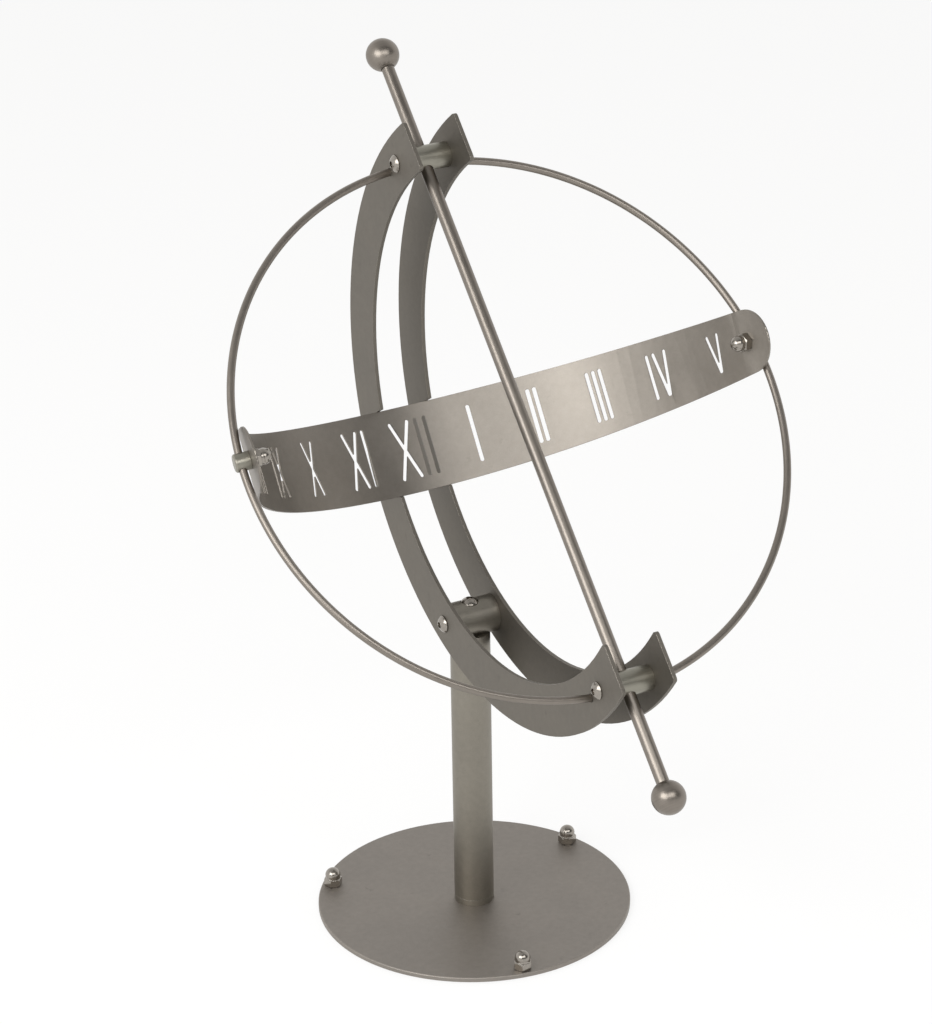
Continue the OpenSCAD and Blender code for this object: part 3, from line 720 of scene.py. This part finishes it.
# %% [markdown]
# No edge of a real part is a perfect corner. Sheet is deburred after the laser, and bars
# are chamfered, so each edge is a narrow round strip that catches the light. The Bevel
# node gives such a strip without any new faces: it bends the surface's direction near an
# edge. Where the bent direction departs from the flat one, the metal takes a colour of its
# own and more gloss. Where that edge colour is lighter than the face, it is partly wear and
# partly a painted highlight. The two limits are cosines of the angle between the directions.

# %% Rounded and rubbed edges
EDGE_SAMPLES = 6
WORN_AND_HIGHLIT_FROM = 0.99
WORN_AND_HIGHLIT_TO = 0.88


def rounded_edge(tree, radius_mm):
    """The bent surface direction, and how much the edge colour (partly a painted highlight) takes
    over, from 0 to 1.
    """
    bent = add_node(tree, "ShaderNodeBevel", {"samples": EDGE_SAMPLES}, {"Radius": radius_mm * MM})
    flat = add_node(tree, "ShaderNodeNewGeometry")
    alike = add_node(tree, "ShaderNodeVectorMath", {"operation": "DOT_PRODUCT"},
                     {0: bent.outputs["Normal"], 1: flat.outputs["Normal"]})
    # Mask for the edge colour: partly wear, partly a painted highlight.
    worn_and_highlit_edge = add_node(tree, "ShaderNodeMapRange", inputs={
        "Value": alike.outputs["Value"], "From Min": WORN_AND_HIGHLIT_FROM, "From Max": WORN_AND_HIGHLIT_TO,
        "To Min": 0.0, "To Max": 1.0})
    return bent.outputs["Normal"], worn_and_highlit_edge.outputs["Result"]


# %% [markdown]
# All finishes below are the same metal, so they share one recipe of four patterns. The
# grain takes a position on the piece, in metres, and stretches it: equal stretch gives the
# even grain of blasting, and a strong stretch along one direction gives the lines of
# drawing, grinding or turning. Slow clouds are what acid cleaning and storage leave, a
# mottle of 5 mm is an uneven hand at the work, and marks of 16 mm are those of fingers.

# %% Patterns on the steel
CLOUD_MM = 55
MOTTLE_MM = 5
FINGER_MM = 16


def steel_patterns(tree, grain_mm, stretch, turned, attribute):
    """Grain, clouds, mottle and finger marks, each a noise between 0 and 1."""
    place = add_node(tree, "ShaderNodeTexCoord").outputs["Object"]
    along = place
    if attribute:
        along = add_node(tree, "ShaderNodeAttribute", {"attribute_name": attribute}).outputs["Vector"]
    lined = add_node(tree, "ShaderNodeMapping", {"vector_type": "TEXTURE"}, {
        "Vector": along, "Rotation": turned, "Scale": stretch})
    grain = add_node(tree, "ShaderNodeTexNoise", inputs={
        "Vector": lined.outputs["Vector"], "Scale": 1 / (grain_mm * MM), "Detail": 3.0,
        "Roughness": 0.65})
    clouds = add_node(tree, "ShaderNodeTexNoise", inputs={
        "Vector": place, "Scale": 1 / (CLOUD_MM * MM), "Detail": 3.0, "Roughness": 0.55,
        "Distortion": 0.6})
    mottle = add_node(tree, "ShaderNodeTexNoise", inputs={
        "Vector": place, "Scale": 1 / (MOTTLE_MM * MM), "Detail": 2.0})
    fingers = add_node(tree, "ShaderNodeTexNoise", inputs={
        "Vector": place, "Scale": 1 / (FINGER_MM * MM), "Detail": 4.0, "Roughness": 0.7})
    return [pattern.outputs["Fac"] for pattern in (grain, clouds, mottle, fingers)]


# %% [markdown]
# The patterns only shift the metal's colour by up to a tenth, as on clean steel. A noise
# seldom leaves the middle of its range, from about 0.3 to 0.7, so that stretch is what the
# Map Range nodes spread out. Finger marks are sparse, so only the top of their noise
# counts. Near an edge the edge colour takes over; where it is lighter, it is partly wear
# and partly a painted highlight.

# %% Colour of the steel
CLOUD_TONE = 0.07
GRAIN_TONE = 0.10
MOTTLE_TONE = 0.04
FINGER_LEVEL = 0.86
FINGER_FROM = 0.64
FINGER_TO = 0.74


def tinted(hex_colour, factor):
    """A hex colour in linear light, made darker or lighter by a factor."""
    return tuple(min(1.0, c * factor) for c in linear(hex_colour)[:3]) + (1.0,)


def steel_colour(tree, colour, edge_wear_highlight_and_tint_colour, uneven, patterns, worn_and_highlit_edge):
    """Mixes the colour of one finish. It is as uneven as the factor says, 1 being the most."""
    grain, clouds, mottle, fingers = patterns
    tone = add_node(tree, "ShaderNodeMapRange", inputs={
        "Value": clouds, "From Min": 0.3, "From Max": 0.7, "To Min": 0.0, "To Max": 1.0})
    base = add_node(tree, "ShaderNodeMix", {"data_type": "RGBA"}, {
        "Factor": tone.outputs["Result"], 6: tinted(colour, 1 - CLOUD_TONE * uneven),
        7: tinted(colour, 1 + CLOUD_TONE * uneven)}).outputs[2]
    flecks = add_node(tree, "ShaderNodeMapRange", inputs={
        "Value": grain, "From Min": 0.25, "From Max": 0.75,
        "To Min": 1 - GRAIN_TONE, "To Max": 1 + GRAIN_TONE})
    patches = add_node(tree, "ShaderNodeMapRange", inputs={
        "Value": mottle, "From Min": 0.25, "From Max": 0.75,
        "To Min": 1 - MOTTLE_TONE, "To Max": 1 + MOTTLE_TONE})
    shade = add_node(tree, "ShaderNodeMath", {"operation": "MULTIPLY"},
                     {0: flecks.outputs["Result"], 1: patches.outputs["Result"]})
    base = add_node(tree, "ShaderNodeVectorMath", {"operation": "SCALE"},
                    {0: base, "Scale": shade.outputs["Value"]}).outputs["Vector"]
    smudge = add_node(tree, "ShaderNodeMapRange", inputs={
        "Value": fingers, "From Min": FINGER_FROM, "From Max": FINGER_TO,
        "To Min": 0.0, "To Max": uneven})
    base = add_node(tree, "ShaderNodeMix", {"data_type": "RGBA"}, {
        "Factor": smudge.outputs["Result"], 6: base, 7: tinted(colour, FINGER_LEVEL)}).outputs[2]
    # Edges take the edge colour: a painted highlight with some wear, and on the band a darker laser
    # tint.
    return add_node(tree, "ShaderNodeMix", {"data_type": "RGBA"}, {
        "Factor": worn_and_highlit_edge, 6: base, 7: linear(edge_wear_highlight_and_tint_colour)}).outputs[2]


# %% [markdown]
# The gloss follows the clouds and the grain, and an edge that is rubbed has half the
# roughness. The grain also raises the surface by a few thousandths of a millimetre, on top
# of the rounded edge.

# %% The steel recipe
MICROMETRE = 0.001 * MM
CLOUD_GLOSS = 0.04
GRAIN_GLOSS = 0.03
RUBBED_GLOSS = 0.5


def stainless(name, colour, edge_wear_highlight_and_tint_colour, roughness, grain_mm, stretch=(1, 1, 1),
              turned=(0, 0, 0), attribute=None, relief_um=6, edge_mm=0.35, uneven=1.0):
    """Steel with one finish. The attribute, where named, holds the grain's own positions."""
    material = bpy.data.materials.new(name)
    material.use_nodes = True
    tree = material.node_tree
    tree.nodes.clear()
    patterns = steel_patterns(tree, grain_mm, stretch, turned, attribute)
    grain, clouds = patterns[:2]
    bent, worn_and_highlit_edge = rounded_edge(tree, edge_mm)
    colour = steel_colour(tree, colour, edge_wear_highlight_and_tint_colour, uneven, patterns, worn_and_highlit_edge)

    cloudy = add_node(tree, "ShaderNodeMapRange", inputs={
        "Value": clouds, "From Min": 0.3, "From Max": 0.7,
        "To Min": roughness - CLOUD_GLOSS, "To Max": roughness + CLOUD_GLOSS})
    streaky = add_node(tree, "ShaderNodeMapRange", inputs={
        "Value": grain, "From Min": 0.3, "From Max": 0.7,
        "To Min": -GRAIN_GLOSS, "To Max": GRAIN_GLOSS})
    rough = add_node(tree, "ShaderNodeMath", {"operation": "ADD"},
                     {0: cloudy.outputs["Result"], 1: streaky.outputs["Result"]})
    rough = add_node(tree, "ShaderNodeMath", {"operation": "MULTIPLY_ADD"},
                     {0: worn_and_highlit_edge, 1: -RUBBED_GLOSS * roughness, 2: rough.outputs["Value"]})
    relief = add_node(tree, "ShaderNodeBump", inputs={
        "Strength": 1.0, "Distance": relief_um * MICROMETRE, "Height": grain, "Normal": bent})
    steel = add_node(tree, "ShaderNodeBsdfPrincipled", inputs={
        "Base Color": colour, "Metallic": 1.0, "Roughness": rough.outputs["Value"],
        "Normal": relief.outputs["Normal"]})
    add_node(tree, "ShaderNodeOutputMaterial", inputs={"Surface": steel.outputs["BSDF"]})
    print("finish:", name)
    return material


# %% [markdown]
# Flat parts are cut from stainless sheet and blasted with glass beads, which leaves a fine
# even grain and a soft sheen with no direction. Bead marks are about a tenth of a
# millimetre, too fine to show here, so the grain is drawn at 0.6 mm. The base, the
# crescent plates, the band and the tube with the pivot bar are one metal in four tones,
# and these tones are painted light and shade: each is set to how bright that piece looks in
# the studio. Their lighter edges are partly wear and partly a painted highlight. Only the
# band keeps the brown tint of the laser along its cuts, so its edges are darker.

# %% Blasted sheet and bar
BLAST_MM = 0.6

# Painted light and shade: the four tones below stand for how brightly each piece is lit, and the
# light edge colours are partly a painted highlight.
blasted_base = stainless("bead-blasted stainless base sheet", "#948e87", "#bdb6ac", 0.54,
                         BLAST_MM, edge_mm=0.5)
blasted_sheet = stainless("bead-blasted stainless sheet", "#7b766e", "#9d968d", 0.58, BLAST_MM)
blasted_band = stainless("bead-blasted rolled stainless sheet", "#938d85", "#5f584f", 0.45,
                         BLAST_MM, edge_mm=0.25)
blasted_bar = stainless("bead-blasted stainless tube and bar", "#8e897f", "#a59f95", 0.45,
                        BLAST_MM)

# %% [markdown]
# Drawn bar keeps long fine scratches from the die, which smear a highlight across it. The
# cross bars and clamp bolts lie along x, so their pattern is stretched forty times in that
# direction. The rod is ground and has finer lines. It needs the pattern turned to its own
# slope, and the wires use the position that each point had before the wire was rolled.
# Real lines are some hundredths of a millimetre apart and are drawn at half a millimetre.

# %% Drawn bar, rod and wire
LINE_MM = 0.5
STRETCH = 40
ROD_SLOPE = (LATITUDE - math.pi / 2, 0, 0)

# The lighter edge colours below are partly wear and partly a painted highlight.
drawn_bar = stainless("drawn stainless bar", "#959287", "#c2bdb2", 0.36, LINE_MM,
                      stretch=(STRETCH, 1, 1), relief_um=3, uneven=0.6)
ground_rod = stainless("ground stainless rod", "#8a837b", "#a8a199", 0.37, LINE_MM,
                       stretch=(1, 1, STRETCH), turned=ROD_SLOPE, relief_um=2, uneven=0.6)
drawn_wire = stainless("drawn stainless wire", "#8b847c", "#a8a199", 0.38, LINE_MM,
                       stretch=(1, 1, STRETCH), attribute="straight_wire", relief_um=2,
                       uneven=0.6)

# %% [markdown]
# The balls are turned and then brushed while they spin, so their lines run round the
# rod's direction. Squeezing the pattern to thin slices across that direction and
# stretching it the other two ways gives rings. Fasteners are bought polished: nearly
# mirrors, with the faint marks of a spanner.

# %% Turned balls and polished fasteners
SPANNER_MM = 1.5

# The lighter edge colours below are partly wear and partly a painted highlight.
turned_ball = stainless("turned stainless ball", "#888179", "#a8a199", 0.34, LINE_MM,
                        stretch=(STRETCH, STRETCH, 1), turned=ROD_SLOPE, relief_um=3, uneven=0.7)
polished = stainless("polished stainless fastener", "#9b958d", "#cfcac2", 0.21, SPANNER_MM,
                     relief_um=2, edge_mm=0.2, uneven=0.5)

# %% [markdown]
# The construction names a finish for each piece. Its sheet parts and its bars share one
# there, so the base, the tube and the thick bars are picked out by name. The new pieces
# get their own finish directly.

# %% Dress the pieces
SLOT_FINISH = {"blasted_steel": blasted_sheet, "brushed_steel": drawn_bar,
               "fastener_steel": polished}
NODE_FINISH = {"base_plate": blasted_base, "post_tube": blasted_bar, "foot_stub": blasted_bar,
               "saddle_plug": blasted_bar, "pivot_bar": blasted_bar}
for part in frame["record"]["subparts"]:
    node = part["node"]
    mesh = nodes[node].data
    mesh.materials.clear()
    mesh.materials.append(NODE_FINISH.get(node, SLOT_FINISH[part["material_slot"]]))
dressed = {ground_rod: [rod], turned_ball: balls, drawn_wire: wires, blasted_band: [band],
           polished: [base_nuts, band_nuts, *screws]}
for finish, pieces in dressed.items():
    for piece in pieces:
        piece.data.materials.append(finish)
print("dressed", len(nodes), "nodes and", sum(map(len, dressed.values())), "new pieces")

# %% Show colours as written
scene.view_settings.view_transform = "Standard"
